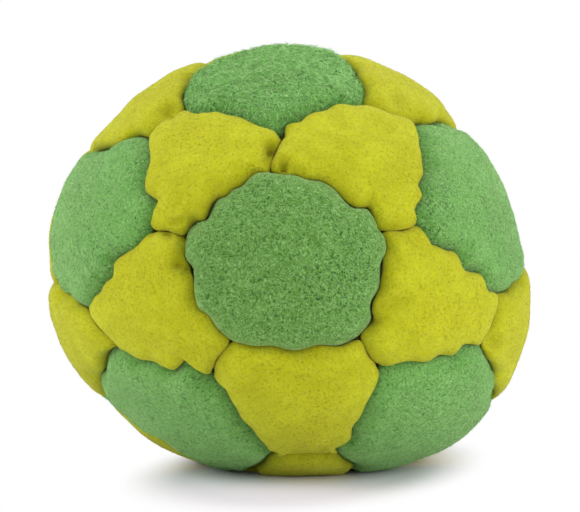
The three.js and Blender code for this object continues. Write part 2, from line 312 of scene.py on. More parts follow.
suedePattern = {
    "blotches": {"Scale": 420, "Detail": 3, "Roughness": 0.55},
    "blotchLimits": (0.38, 0.66),
    "regions": {"Scale": 140, "Detail": 1.5, "Roughness": 0.5},
    "regionLimits": (0.4, 0.64),
    "pits": {"Scale": 3600, "Detail": 2, "Roughness": 0.6},
    "pitLimits": (0.47, 0.33),
    "pitHeight": 1.6,  # in the relief, where the fibres count 1
    "fibres": {"Scale": 1, "Detail": 2.5, "Roughness": 0.6, "Distortion": 0.6},
    "fibreLimits": (0.028, 0.006),
    # for each set of fibres its turn in radians, and its waves to a mm across and along
    "fibreSets": ((0.3, 3.4, 1.2), (1.4, 3.1, 1.4), (2.4, 3.6, 1.1)),
    "shader": {"Roughness": 0.95, "Specular IOR Level": 0.15, "Sheen Roughness": 0.45},
}


def suede(finish):
    # short-napped suede: soft blotches, small dark pits between the fibres, pale fibres lying every way
    pattern = suedePattern
    material, add = emptyMaterial(finish["name"])
    place = add("ShaderNodeTexCoord").outputs["Object"]
    flat = add("ShaderNodeUVMap", uv_map="clothFlat").outputs["UV"]  # millimetres on the cut cloth

    blotches = spread(add, noisy(add, place, pattern["blotches"]), pattern["blotchLimits"])
    colour = mixed(add, blotches, finish["cloth"], finish["blotch"])

    # here and there the nap lies the other way: a deeper tone, and more of the pits show
    worn = spread(add, noisy(add, place, pattern["regions"]), pattern["regionLimits"])
    colour = mixed(add, maths(add, "MULTIPLY", worn, finish["wornShare"]), colour, finish["worn"])

    pits = noisy(add, place, pattern["pits"])
    mostPits = add("ShaderNodeMapRange", {"Value": worn, "To Min": finish["pitShare"],
                                          "To Max": finish["pitShare"] * finish["wornPits"]})
    low, high = pattern["pitLimits"]
    pitShare = add("ShaderNodeMapRange", {"Value": pits, "From Min": low, "From Max": high,
                                          "To Max": mostPits.outputs[0]})
    colour = mixed(add, pitShare.outputs[0], colour, finish["pit"])

    # fibres are the thin contour lines of stretched noises, each set turned its own way
    fibres = None
    for turn, across, along in pattern["fibreSets"]:
        turned = add("ShaderNodeMapping", {"Vector": flat, "Rotation": (0, 0, turn),
                                           "Scale": (1 / along, 1 / across, 1)}, vector_type="TEXTURE")
        waves = noisy(add, turned.outputs[0], pattern["fibres"], noise_dimensions="2D")
        away = maths(add, "ABSOLUTE", maths(add, "SUBTRACT", waves, 0.5))
        lines = spread(add, away, pattern["fibreLimits"])
        fibres = maths(add, "MAXIMUM", fibres, lines) if fibres else lines
    colour = mixed(add, maths(add, "MULTIPLY", fibres, finish["fibreShare"]), colour, finish["fibre"])

    # painted shade along the seams and in the folds; the front finish paints a pale highlight there instead
    near = add("ShaderNodeAttribute", attribute_name="seamNear").outputs["Fac"]  # 1 at the lip
    colour = mixed(add, maths(add, "MULTIPLY", near, finish["edgeShare"]), colour, finish["edge"])

    height = maths(add, "MULTIPLY_ADD", pits, pattern["pitHeight"], fibres)
    sheen = {"Sheen Weight": finish["sheen"], "Sheen Tint": finish["sheenTint"]}
    coat(add, colour, {**sheen, **pattern["shader"]}, height, finish)
    return material


threadFinish = {
    "name": "spunThread",
    "colour": linearColour(196, 188, 60),
    "shade": linearColour(128, 122, 34),
    "fibres": {"Scale": 9000, "Detail": 2, "Roughness": 0.6},
    "fibreLimits": (0.36, 0.64),
    "bump": 0.5,
    "relief": 0.03,  # mm
    "shader": {"Roughness": 0.7, "Sheen Weight": 0.25},
}


def spunThread(finish):
    # fine spun fibres wind round the thread
    material, add = emptyMaterial(finish["name"])
    place = add("ShaderNodeTexCoord").outputs["Object"]
    fine = noisy(add, place, finish["fibres"])
    colour = mixed(add, spread(add, fine, finish["fibreLimits"]), finish["shade"], finish["colour"])
    coat(add, colour, finish["shader"], fine, finish)
    return material


sandFinish = {
    "name": "drySand",
    "colours": ((0.0, linearColour(112, 84, 52)), (0.35, linearColour(184, 152, 104)),
                (0.7, linearColour(208, 184, 140)), (1.0, linearColour(236, 226, 204))),
    "grain": 0.35,  # mm across
    "humpEdge": 0.7,  # shares of a grain's size at which its hump ends
    "bump": 0.8,
    "relief": 0.15,  # mm
    "shader": {"Roughness": 0.8, "Specular IOR Level": 0.4},
}


def drySand(finish):
    # every grain has its own colour, and is a small hump
    material, add = emptyMaterial(finish["name"])
    place = add("ShaderNodeTexCoord").outputs["Object"]
    scale = 1 / (finish["grain"] * mm)
    grains = add("ShaderNodeTexVoronoi", {"Vector": place, "Scale": scale, "Randomness": 1})
    tones = add("ShaderNodeSeparateColor", {"Color": grains.outputs["Color"]})
    ramp = add("ShaderNodeValToRGB", {"Fac": tones.outputs["Red"]})
    stops = ramp.color_ramp.elements
    while len(stops) < len(finish["colours"]):
        stops.new(0.5)
    for stop, (position, colour) in zip(stops, finish["colours"]):
        stop.position = position
        stop.color = colour
    humps = spread(add, grains.outputs["Distance"], (finish["humpEdge"], 0))
    coat(add, ramp.outputs["Color"], finish["shader"], humps, finish)
    return material


bagForm = {
    "heart": (-0.00049, -0.00002, 0.02100),  # the panels are laid out round this point
    "middle": (-0.00049, -0.00002),
    "width": 0.0524,
    "depth": 0.0515,
    "height": 0.0454,
    "widestHeight": 0.01939,
    "crownFullness": 2.02,
    "baseFullness": 2.12,
    "baseSettling": 0.0018,
    "baseShift": 0.0021,
    "shiftHeight": 0.02701,
    "meanRadius": 0.02488,
    "farthest": 0.1,  # no place of the bag is further from its heart
    "halvings": 36,
}

heart = np.array(bagForm["heart"])
meanRadius = bagForm["meanRadius"]


def formRadius(directions):
    # distance from the heart to the outside of the bag, by halving the range
    form = bagForm
    low = np.zeros(len(directions))
    high = np.full(len(directions), form["farthest"])
    for _ in range(form["halvings"]):
        middle = (low + high) / 2
        point = heart + directions * middle[:, None]
        lean = np.clip(1 - point[:, 2] / form["shiftHeight"], 0, 1)
        shift = form["baseShift"] * lean * lean * (3 - 2 * lean)
        rise = point[:, 2] - form["widestHeight"]
        fullness = np.where(rise > 0, form["crownFullness"], form["baseFullness"])
        reach = np.where(rise > 0, form["height"] - form["widestHeight"],
                         form["widestHeight"] + form["baseSettling"])
        across = np.hypot((point[:, 0] - form["middle"][0] - shift) / (form["width"] / 2),
                          (point[:, 1] - form["middle"][1]) / (form["depth"] / 2))
        outside = across ** fullness + np.abs(rise / reach) ** fullness > 1
        high = np.where(outside, middle, high)
        low = np.where(outside, low, middle)
    return low


def bagPoints(directions, drawnIn, inwards=0.0):
    # drawn in from the round form, pressed flat by the floor, then set in from the cloth's outer face
    down = np.minimum(directions[:, 2], -1e-6)
    floorReach = np.where(directions[:, 2] < 0, -heart[2] / down, 1.0)
    radius = np.minimum(formRadius(directions) - drawnIn, floorReach) - inwards
    return heart + directions * radius[:, None]


panelSet = {
    # lengths are in mm
    "samplesPerStep": 5,  # points of a seam to one of the CAD panel's
    "neighbourCosine": 0.5,  # panels whose middles lie further apart than this share no seam
    "seamTimes": 3,
    "seamGap": 0.03,  # between the lips of two panels
    "furrowGap": 0.008,  # the same between two yellow ones
    "waveReach": 1.3,  # over which the waves of a seam die out towards the middle
    "waveStrength": 0.62,
    "waveChange": 0.75,
    "leastWave": 0.12,
    "fullWave": 0.35,  # the height of a wave that has the whole lobe
    "calmTimes": 14,
    "creaseDepth": 1.3,
    "usualDepth": 0.8,  # shares of the crease's depth
    "depthChange": 0.55,
    "leastDepth": 0.5,
    "lean": 0.5,  # by which one lip may stand above the other
    "mostLean": 0.38,
    "leanTimes": 8,
    "leanRoundness": 0.8,
    "leanPower": 1.5,
    "lift": {"hexagon": 0.3, "pentagon": -0.5, "pentagon_panel_front": 0.1, "pentagon_panel_fore_1": -0.6},
    "shoulderWidth": 2.2,
    "shoulderPower": 2.2,
    "slopePower": 1.8,
    # less of each where yellow meets yellow
    "furrow": {"roundness": 0.6, "depth": 0.36, "lean": 0.75, "sameRing": 0.7},
    "panelRise": 0.5,
    "lobeRise": 0.16,
    "lobeReach": 1.7,
    "stitchPull": 0.34,
    "stitchReach": 0.9,
    "cornerPull": 0.35,
    "cornerReach": 1.2,
    "lumps": 0.16,
    "lumpNoise": (210, 520, 0.4),  # coarse and fine to a metre, and the share of the fine one
    "lumpsWhole": 2.5,  # from the lip to where the lumps have their whole height
    # the painted seam shade fades over edgeReach from the lip; dimples narrower than foldReach take it too,
    # whole at foldDepth
    "edgeReach": 0.4,
    "foldReach": 1.2,  # a dimple narrower than this is a fold, and takes the tone of the seams
    "foldDepth": 1.1,
    "flatApart": 37.0,  # from one panel to the next where all are laid flat
}

# the cloth is a closed sheet: rings of points from the middle of its outer face to the lip, in along the
# allowance, back out and over its inner face; numbers are mm from the lip, or shares of what is left
lipRings = (0, 0.04, 0.1, 0.18, 0.28, 0.4, 0.55, 0.75, 1.0, 1.3, 1.65, 2.05, 2.5, 3.0, 3.6)
crownRings = (0.1, 0.22, 0.35, 0.48, 0.61, 0.73, 0.84, 0.93)

clothSet = {
    "thickness": 0.7,
    "allowance": 1.8,
    "splay": 0.7,  # mm by which the turned-in edge leans towards the middle
    "splayPower": 0.8,
    "wayIn": (0.06, 0.16, 0.32, 0.55, 0.8, 1),
    "wayBack": (1, 0.75, 0.5, 0.3),
    "innerLip": 0.12,
    "innerRings": (0.95, 1.4, 2.0, 2.9),
    "innerCrownRings": (0.25, 0.55, 0.82),
}

cadRing = {
    # a CAD panel's fold is so many rings out from its pole, and has these corners of seams on it
    "fold": 4,
    "corners": {"pentagon": (0, 6, 12, 18, 24), "hexagon": (0, 2, 8, 10, 16, 18)},
    "period": {"pentagon": 6, "hexagon": 8},
    "upwards": (0.0, 0.1, 1.0),  # no panel faces this way
}

noiseSet = {
    # how fine the noise is on the unit sphere, and the place in it where the reading starts
    "wave": (5.3, (3.1, 7.7, 1.9)),
    "depth": (4.3, (5.2, 1.3, 8.8)),
    "lean": (3.3, (7.3, 3.1, 2.7)),  # the first two places are steps from panel to panel
}

frontHold = {
    # how far a place must face the front for what is pulled there: not at all, and wholly
    "seams": (0.05, 0.25),
    "dimples": (-0.45, 0.1),
    "steepest": 0.35,
}

# pulls on the seams, as with proportional editing: places are millimetres across and up in the
# camera's view, then follows how far the seam is moved across and up, and the reach
seamTugs = {
    "green front, yellow front_1": (
        (3.2, 7.8, 0.0, 0.54, 1.1), (4.5, 7.2, 0.11, 0.32, 1.3), (8.4, 4.7, 0.22, 0.54, 0.9),
        (10.0, 3.0, -0.32, 0.0, 0.6),
    ),
    "green front, yellow front_2": (
        (9.7, -1.3, 0.32, 0.0, 0.9), (8.5, -7.1, 0.43, 0.0, 0.8),
    ),
    "green front, yellow front_3": (
        (-4.3, -10.0, 0.0, 0.43, 2.4),
    ),
    "green front, yellow front_4": (
        (-10.8, -1.3, -0.22, 0.0, 0.8), (-9.3, -5.4, -0.54, -0.32, 1.0),
    ),
    "green front, yellow front_5": (
        (-9.9, 4.9, 0.54, -0.76, 0.9), (-7.3, 7.2, 0.32, -0.43, 0.8),
    ),
    "green fore_1, yellow front_1": (
        (-0.2, 13.7, -0.32, 0.32, 0.6), (0.1, 14.0, 0.0, 0.32, 0.8),
    ),
    "green fore_1, yellow front_5": (
        (-9.7, 16.1, 0.0, -0.54, 1.5), (-8.3, 15.7, 0.0, -0.22, 0.6), (-6.7, 15.0, 0.0, 0.22, 0.8),
        (-4.1, 14.9, 0.0, -0.54, 1.2),
    ),
    "green fore_2, yellow fore_1": (
        (14.6, 15.2, 0.0, -0.54, 1.1),
    ),
    "green fore_2, yellow front_1": (
        (14.5, 11.7, -0.54, 0.0, 1.0), (14.5, 10.4, -0.32, 0.0, 1.0), (15.0, 7.7, -0.76, 0.0, 1.4),
        (14.8, 7.3, -0.65, 0.0, 0.9), (13.8, 7.6, 0.43, 0.0, 0.5), (14.1, 5.2, -0.43, 0.0, 0.8),
        (14.0, 4.7, -0.43, -0.11, 0.9), (13.6, 5.3, 0.22, 0.0, 0.4),
    ),
    "green fore_2, yellow front_2": (
        (15.1, 2.1, -0.32, -0.54, 0.9), (16.8, 1.6, 0.0, -0.65, 1.0), (19.2, -1.1, -0.32, -0.43, 1.2),
        (21.3, -3.1, -0.32, -0.43, 1.0),
    ),
    "green fore_3, yellow fore_2": (
        (21.9, -10.5, -0.65, -0.11, 1.0), (22.6, -13.4, -0.54, 0.0, 0.9),
    ),
    "green fore_3, yellow front_2": (
        (13.5, -11.7, 0.0, 0.54, 1.5), (18.1, -9.7, 0.0, 0.32, 1.3), (18.6, -10.4, -0.32, 0.76, 1.1),
    ),
    "green fore_3, yellow front_3": (
        (9.1, -15.8, -0.86, 0.0, 1.3), (8.3, -16.6, -0.65, -0.11, 1.0), (8.0, -16.8, -0.32, 0.0, 1.3),
        (7.8, -18.6, -0.86, 0.0, 1.3), (6.8, -19.5, -0.76, 0.22, 1.0), (6.5, -19.4, -0.32, 0.0, 0.9),
        (5.5, -20.6, -0.43, 0.22, 0.6), (6.0, -20.6, -0.76, 0.22, 1.0),
    ),
    "green fore_3, yellow fore_3": (
        (4.9, -21.8, -0.43, 0.22, 0.8),
    ),
    "green fore_4, yellow fore_4": (
        (-19.4, -10.4, -0.22, 0.32, 1.0),
    ),
    "green fore_4, yellow front_4": (
        (-15.4, -11.7, 0.0, 0.32, 1.6), (-15.1, -11.9, 0.0, 0.32, 1.5), (-13.0, -12.6, 0.0, 0.54, 0.9),
        (-11.2, -12.6, 0.0, 1.19, 1.0), (-10.4, -12.4, 0.0, 0.76, 0.9), (-10.1, -11.7, 0.11, 0.22, 0.9),
    ),
    "green fore_4, yellow front_3": (
        (-9.2, -12.1, 0.32, 0.22, 0.8), (-8.0, -14.0, 0.54, 0.11, 0.8), (-7.3, -14.9, 0.65, 0.22, 1.3),
        (-6.6, -16.4, 0.76, 0.22, 1.0), (-5.8, -17.8, 0.76, 0.11, 1.2), (-4.7, -18.5, 0.32, 0.11, 0.8),
        (-4.6, -20.0, 1.08, 0.32, 1.2), (-3.6, -20.2, 0.65, 0.22, 1.0), (-2.6, -21.6, 0.65, 0.32, 0.9),
        (-2.3, -21.6, 0.43, 0.32, 0.8),
    ),
    "green fore_5, yellow fore_5": (
        (-18.8, 12.8, 0.0, -0.65, 1.4), (-21.0, 11.9, 0.0, -0.65, 0.9), (-16.4, 13.2, 0.0, 0.11, 1.0),
    ),
    "green fore_5, yellow front_5": (
        (-15.8, 12.4, 0.11, 0.32, 0.6), (-15.8, 10.4, 0.54, 0.0, 1.5), (-16.1, 9.5, 0.65, 0.0, 1.5),
        (-16.4, 7.1, 0.65, 0.32, 1.0), (-15.4, 5.5, 0.65, 0.11, 0.8), (-15.9, 5.5, 0.97, 0.22, 0.9),
        (-15.8, 4.1, 0.54, 0.11, 0.8), (-15.5, 3.9, 0.32, 0.0, 0.6),
    ),
    "green fore_5, yellow front_4": (
        (-18.5, -0.8, -0.43, 0.22, 0.9), (-20.5, -3.3, 0.43, -0.32, 0.8),
    ),
    "yellow front_1, front_5": (
        (-1.1, 11.4, -0.76, 0.0, 0.9), (-1.2, 10.1, -0.76, 0.0, 0.9), (-1.3, 9.2, -0.43, 0.0, 0.5),
    ),
    "yellow front_1, fore_1": (
        (10.6, 16.0, 0.0, -0.54, 1.0), (12.1, 15.4, 0.0, -0.32, 0.8),
    ),
    "yellow front_3, fore_3": (
        (-0.8, -21.6, 0.0, 0.43, 0.5), (-0.2, -22.0, 0.0, 1.08, 1.4), (2.4, -22.1, 0.0, 1.3, 1.4),
        (4.4, -21.7, 0.0, 0.76, 0.6),
    ),
}

flankTugs = (
    # seams at the sides, which the camera sees edge-on: place, how far it is moved, and reach, all in mm
    ((-23.6, -1.5, 29.5), (0, 1.8, 0), 3.5), ((-25.1, -2.1, 23.0), (0, 1.5, 0), 3.2),
    ((-21.7, -0.2, 33.0), (-0.2, 1.2, -0.8), 2.6), ((22.1, 0.8, 30.5), (0, 2.0, 0), 4.0),
    ((19.5, 0.3, 34.5), (0, 1.5, 0), 3.0), ((24.2, 1.4, 24.6), (0, 1.0, 0), 3.0),
    ((-14.3, -3.2, 3.6), (0, -6.5, 0), 5.0), ((5.3, -11.5, 1.6), (1.6, 0, 0), 3.4),
    ((-1.6, -12.4, 2.1), (-0.9, 0, 0), 1.9),
)

seamPits = (
    # across, up, how far each lip draws back, reach
    (-14.7, 5.6, 0.28, 0.4), (-14.9, 2.9, 0.22, 0.4), (-0.8, 13.4, 0.3, 0.5), (-9.7, 3.2, 0.2, 0.4),
    (-11.0, -1.5, 0.2, 0.4), (8.7, 5.1, 0.18, 0.4), (9.5, -12.0, 0.16, 0.4), (8.9, -7.1, 0.2, 0.5),
    (-8.4, -12.5, 0.16, 0.4), (-15.2, 12.7, 0.14, 0.4), (13.6, 14.6, 0.16, 0.4), (-11.4, 15.9, 0.14, 0.4),
)

dimples = (
    # across, up, depth, reach
    (-2.2, 11.7, 1.7, 0.6), (-2.6, 10.6, 0.4, 0.5), (-0.6, 9.7, 1.4, 0.5), (-1.1, 11.1, -0.25, 0.5),
    (-0.8, 13.4, 0.5, 0.5), (-14.5, 5.7, 0.35, 0.6), (-13.2, 2.3, 0.7, 0.5), (-11.8, 1.8, 0.4, 0.4),
    (-12.3, -1.0, 1.0, 0.6), (-11.2, -1.3, 1.0, 0.6), (-12.3, -2.1, -0.3, 0.6), (-11.9, 0.0, -0.15, 0.5),
    (-12.7, 3.7, 0.55, 0.5), (-11.8, 3.8, 0.55, 0.5), (-13.0, 2.8, -0.2, 0.5), (-10.5, 3.7, 0.6, 0.6),
    (-11.6, 3.0, -0.15, 0.4), (-9.7, 3.2, 0.35, 0.5), (-13.3, 15.8, 0.9, 0.9), (11.7, 16.8, 0.5, 0.8),
    (-18.6, 15.5, 0.55, 3.2), (-14.9, 19.0, 0.3, 2.2), (-6.5, 22.2, 0.45, 3.7), (25.7, -2.2, -0.4, 2.6),
    (25.3, -11.4, 0.45, 2.6), (17.8, -21.5, -0.4, 3.5), (-26.4, -0.6, 0.45, 2.4), (-18.6, -17.5, 0.4, 2.4),
    (17.6, 15.5, 0.4, 1.3), (-10.1, 2.6, 0.35, 0.5), (-12.7, 2.6, -0.2, 0.4), (-11.6, 0.6, 0.3, 0.5),
    (1.1, -20.9, 0.25, 1.0), (3.5, -21.2, 0.3, 0.5), (9.9, -5.3, 0.35, 0.6), (11.3, -5.1, 0.5, 0.9),
    (12.7, -4.9, 0.3, 0.6), (22.2, -9.4, 0.8, 0.8),
)


def bell(places, middle, reach):
    # 1 at the middle, and dying away over the reach
    return np.exp(-(np.linalg.norm(places - np.array(middle), axis=1) / reach) ** 2)


def noiseAt(directions, kind):
    scale, start = noiseSet[kind]
    return np.array([noise.noise(Vector(d) * scale + Vector(start)) for d in directions])


def panelRing(name):
    # unit directions of the outer fold of a panel's cloth, counterclockwise from outside, from a corner
    cad = bmesh.new()
    cad.from_mesh(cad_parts[name].data)
    bmesh.ops.remove_doubles(cad, verts=cad.verts, dist=1e-6)
    poles = sorted(cad.verts, key=lambda v: -len(v.link_edges))[:2]
    pole = max(poles, key=lambda v: (v.co - Vector(heart)).length)
    reached, ring = {pole}, [pole]
    for _ in range(cadRing["fold"]):
        ring = {edge.other_vert(v) for v in ring for edge in v.link_edges} - reached
        reached |= ring
    middle = np.array((pole.co - Vector(heart)).normalized())
    directions = unit(np.array([v.co for v in ring]) - heart)
    cad.free()
    across = unit(np.cross(cadRing["upwards"], middle))
    upwards = np.cross(middle, across)
    directions = directions[np.argsort(np.arctan2(directions @ upwards, directions @ across))]
    count = len(directions)
    away = np.arccos(directions @ middle)
    shape = name.split("_")[0]
    corners = cadRing["corners"][shape]
    starts = range(cadRing["period"][shape])
    first = max(starts, key=lambda k: sum(away[(k + c) % count] for c in corners))
    return np.roll(directions, -first, axis=0), middle, list(corners)


def throughPoints(values, steps):
    # a smooth closed line through the points, with so many steps between two of them
    before, after = np.roll(values, 1, axis=0), np.roll(values, -1, axis=0)
    second = np.roll(values, -2, axis=0)
    made = []
    for step in range(steps):
        t = step / steps
        made.append(0.5 * ((2 * values) + (after - before) * t
                           + (2 * before - 5 * values + 4 * after - second) * t ** 2
                           + (3 * values - before - 3 * after + second) * t ** 3))
    return np.stack(made, axis=1).reshape((-1,) + values.shape[1:])


def readPanel(name):
    # the waves of a seam grow and fade along it, alike on both sides because they follow the place
    chosen = panelSet
    coarse, middle, corners = panelRing(name)
    strength = chosen["waveStrength"] + chosen["waveChange"] * noiseAt(coarse, "wave")
    strength = np.clip(strength, chosen["leastWave"], 1)
    strength[corners] = 1
    calm = (2 * coarse + np.roll(coarse, -1, axis=0) + np.roll(coarse, 1, axis=0)) / 4
    calm[corners] = coarse[corners]
    kept = calm + (coarse - calm) * strength[:, None]
    along = unit(np.roll(coarse, -1, axis=0) - np.roll(coarse, 1, axis=0))
    height = np.einsum("ij,ij->i", kept - calm, np.cross(along, coarse)) * meanRadius
    wave = height / (chosen["fullWave"] * mm)
    isCorner = np.zeros(len(coarse))
    isCorner[corners] = 1
    steps = chosen["samplesPerStep"]
    return {
        "middle": middle,
        "rim": unit(throughPoints(unit(kept), steps)),
        "wave": throughPoints(np.clip(wave, -1, 1), steps),
        "corner": throughPoints(isCorner, steps),
    }


def nearestOn(ring, point):
    # the nearest point to a point on a closed ring
    first = np.argmin(((ring - point) ** 2).sum(axis=1))
    best, least = ring[first], np.inf
    for one, two in ((ring[first - 1], ring[first]), (ring[first], ring[(first + 1) % len(ring)])):
        side = two - one
        share = np.clip((point - one) @ side / (side @ side), 0, 1)
        found = one + side * share
        away = np.linalg.norm(found - point)
        if away < least:
            best, least = found, away
    return best, least


def closeSeams(panels):
    # each lip is brought up to its neighbour's, with a hair's width left between them
    chosen = panelSet
    shifts = {}
    names = list(panels)
    for name, panel in panels.items():
        others = [key for key in names
                  if key != name and panels[key]["middle"] @ panel["middle"] > chosen["neighbourCosine"]]
        moved = np.zeros_like(panel["rim"])
        neighbour = np.zeros(len(moved))
        for k, point in enumerate(panel["rim"]):
            found = [nearestOn(panels[key]["rim"], point) for key in others]
            nearest = min(range(len(found)), key=lambda n: found[n][1])
            best, least = found[nearest]
            bothYellow = name.startswith("hexagon") and others[nearest].startswith("hexagon")
            gap = chosen["furrowGap" if bothYellow else "seamGap"] * mm / meanRadius
            moved[k] = (best - point) * max(0, 0.5 - gap / 2 / least)
            neighbour[k] = names.index(others[nearest])
        panel["neighbour"] = neighbour
        shifts[name] = smoothedRing(moved, chosen["seamTimes"])
    for name, panel in panels.items():
        panel["rim"] = unit(panel["rim"] + shifts[name])


def creasePoints(directions):
    return bagPoints(directions, np.full(len(directions), panelSet["creaseDepth"] * mm))


def tugSeams(panels):
    # both sides of a seam move alike
    tugs = [tug for seam in seamTugs.values() for tug in seam]
    for panel in panels.values():
        directions = panel["rim"]
        points = creasePoints(directions)
        seen = asSeen(points)
        facing = smoothStep(*frontHold["seams"], -directions[:, 1])
        slope = np.maximum(-directions[:, 1], frontHold["steepest"])
        for across, up, moveAcross, moveUp, reach in tugs:
            share = facing * bell(seen, (across, up), reach)
            # along the skin, so that the move shows whole in the view
            back = (directions[:, 0] * moveAcross + directions[:, 2] * moveUp) / slope
            move = np.stack([np.full(len(back), moveAcross), back, np.full(len(back), moveUp)], axis=1)
            points = points + share[:, None] * move * mm
        for place, move, reach in flankTugs:
            points = points + bell(points / mm, place, reach)[:, None] * np.array(move) * mm
        panel["rim"] = unit(points - heart)


def openPits(panels):
    # where a stitch pulls hard, both lips draw back from it and leave a small dark pit
    for panel in panels.values():
        directions = panel["rim"]
        seen = asSeen(creasePoints(directions))
        facing = smoothStep(*frontHold["seams"], -directions[:, 1])
        inwards = unit(panel["middle"] - directions)
        for across, up, opening, reach in seamPits:
            share = facing * bell(seen, (across, up), reach) * opening * mm / meanRadius
            directions = directions + inwards * share[:, None]
        panel["rim"] = unit(directions)


def seamDepth(directions):
    # some stretches of seam are drawn in deeper than others
    depth = panelSet["usualDepth"] + panelSet["depthChange"] * noiseAt(directions, "depth")
    return np.clip(depth, panelSet["leastDepth"], 1)


def furrowShare(panel, number):
    # two yellow lips meet in a soft furrow, a deeper one round the front and the back
    shape, _, ring = panelNames[number].split("_")[:3]
    share = np.zeros(len(panel["rim"]))
    if shape == "pentagon":
        return share
    for k, other in enumerate(panel["neighbour"]):
        otherShape, _, otherRing = panelNames[int(other)].split("_")[:3]
        if otherShape == "hexagon":
            share[k] = panelSet["furrow"]["sameRing"] if otherRing == ring else 1
    return smoothedRing(share, panelSet["seamTimes"])


def lipLift(number):
    name = panelNames[int(number)]
    return panelSet["lift"].get(name, panelSet["lift"][name.split("_")[0]])


def lipLean(panel, number):
    # along a seam one lip stands a little above the other
    scale, (stepAcross, stepAlong, start) = noiseSet["lean"]

    def own(direction, which):
        step = Vector((which * stepAcross, which * stepAlong, start))
        return noise.noise(Vector(direction) * scale + step)

    lean = [own(d, number) - own(d, other) + lipLift(number) - lipLift(other)
            for d, other in zip(panel["rim"], panel["neighbour"])]
    most = panelSet["mostLean"]
    return np.tanh(smoothedRing(np.array(lean), panelSet["leanTimes"]) * panelSet["lean"] / most) * most


def lumpsAt(points):
    coarse, fine, fineShare = panelSet["lumpNoise"]
    return np.array([noise.noise(Vector(p) * coarse) + fineShare * noise.noise(Vector(p) * fine)
                     for p in points])


def dimplesAt(points, directions, widest=math.inf):
    seen = asSeen(points)
    facing = smoothStep(*frontHold["dimples"], -directions[:, 1])
    made = np.zeros(len(points))
    for across, up, depth, reach in dimples:
        if reach < widest:
            made += depth * bell(seen, (across, up), reach)
    return made * facing


def panelRings(panel, number):
    # all points of a panel's cloth, and how many rings they make between the first and the last of them
    chosen = panelSet
    middle, rim = panel["middle"], panel["rim"]
    calmRim = unit(smoothedRing(rim, chosen["calmTimes"]))
    lobe = np.maximum(panel["wave"], 0)
    pull = np.maximum(-panel["wave"], 0)
    furrow = furrowShare(panel, number)
    deep = seamDepth(rim) * (1 - chosen["furrow"]["depth"] * furrow)
    lean = lipLean(panel, number) * (1 - chosen["furrow"]["lean"] * furrow)
    span = np.arccos(np.clip(rim @ middle, -1, 1)) * meanRadius / mm

    def towardsMiddle(distance):
        # the waves of the seam die out a little way in
        share = (distance / span)[:, None]
        edge = calmRim + (rim - calmRim) * np.exp(-distance / chosen["waveReach"])[:, None]
        return unit(edge * (1 - share) + middle * share)

    # a lip that stands high is round, and a low one slopes in under it
    roundness = np.clip(0.5 + lean / chosen["lean"] * chosen["leanRoundness"], 0, 1)
    roundness = roundness * (1 - chosen["furrow"]["roundness"] * furrow)

    def drawnIn(distance):
        tuck = np.clip(1 - distance / chosen["shoulderWidth"], 0, 1)
        power = chosen["shoulderPower"]
        bulged = 1 - (1 - tuck ** power) ** (1 / power)
        sloped = tuck ** chosen["slopePower"]
        depth = deep * chosen["creaseDepth"] * (bulged * roundness + sloped * (1 - roundness))
        return depth - lean * tuck ** chosen["leanPower"] + chosen["panelRise"] * (1 - distance / span) ** 2

    def relief(distance, directions, points):
        # lobes between the stitches, dimples at them and at the corners, and the lumps of the sand
        made = chosen["lobeRise"] * lobe * np.exp(-(distance / chosen["lobeReach"]) ** 2)
        made = made - chosen["stitchPull"] * pull * np.exp(-distance / chosen["stitchReach"])
        made = made - chosen["cornerPull"] * panel["corner"] * np.exp(-distance / chosen["cornerReach"])
        made = made + chosen["lumps"] * lumpsAt(points) * smoothStep(0, chosen["lumpsWhole"], distance)
        return made - dimplesAt(points, directions)

    def clothRing(distance, inwards=0.0):
        directions = towardsMiddle(distance)
        flat = drawnIn(distance) * mm
        base = bagPoints(directions, flat)
        return bagPoints(directions, flat - relief(distance, directions, base) * mm, inwards)

    rings = [clothRing(np.full(len(rim), d)) for d in lipRings]
    rings += [clothRing(lipRings[-1] + (span - lipRings[-1]) * share) for share in crownRings]
    top = bagPoints(middle[None], np.zeros(1))
    top = bagPoints(middle[None], (dimplesAt(top, middle[None]) - chosen["lumps"] * lumpsAt(top)) * mm)

    # the edge of the cloth turned in, and its inner face
    thickness, allowance = clothSet["thickness"], clothSet["allowance"]
    atLip = np.zeros(len(rim))
    flatLip = drawnIn(atLip) * mm
    crease = flatLip - relief(atLip, rim, bagPoints(rim, flatLip)) * mm
    bottomOfSeam = np.maximum((chosen["creaseDepth"] + chosen["panelRise"]) * mm, crease)

    def turnedRing(share, under, inwards):
        splay = clothSet["splay"] * share ** clothSet["splayPower"] + under
        directions = towardsMiddle(np.full(len(rim), splay))
        return bagPoints(directions, crease * (1 - share) + bottomOfSeam * share, inwards * mm)

    turned = [turnedRing(share, 0, allowance * share) for share in clothSet["wayIn"]]
    for share in clothSet["wayBack"]:
        turned.append(turnedRing(share, thickness, allowance * share + clothSet["innerLip"] * (1 - share)))
    last = clothSet["innerRings"][-1]
    inner = [clothRing(np.full(len(rim), d), thickness * mm) for d in clothSet["innerRings"]]
    inner += [clothRing(last + (span - last) * share, thickness * mm)
              for share in clothSet["innerCrownRings"]]
    bottom = heart + (top - heart) * (1 - thickness * mm / np.linalg.norm(top - heart))

    loft = rings[::-1] + turned + inner
    return np.concatenate([top] + loft + [bottom]), len(loft)


def loftFaces(ringCount, ringSize):
    # a fan, bands from ring to ring, and a fan again
    faces = [(0, 1 + j, 1 + (j + 1) % ringSize) for j in range(ringSize)]
    for i in range(ringCount - 1):
        one, two = 1 + i * ringSize, 1 + (i + 1) * ringSize
        faces += [(one + j, two + j, two + (j + 1) % ringSize, one + (j + 1) % ringSize)
                  for j in range(ringSize)]
    last = 1 + (ringCount - 1) * ringSize
    faces += [(last + (j + 1) % ringSize, last + j, last + ringSize) for j in range(ringSize)]
    return faces


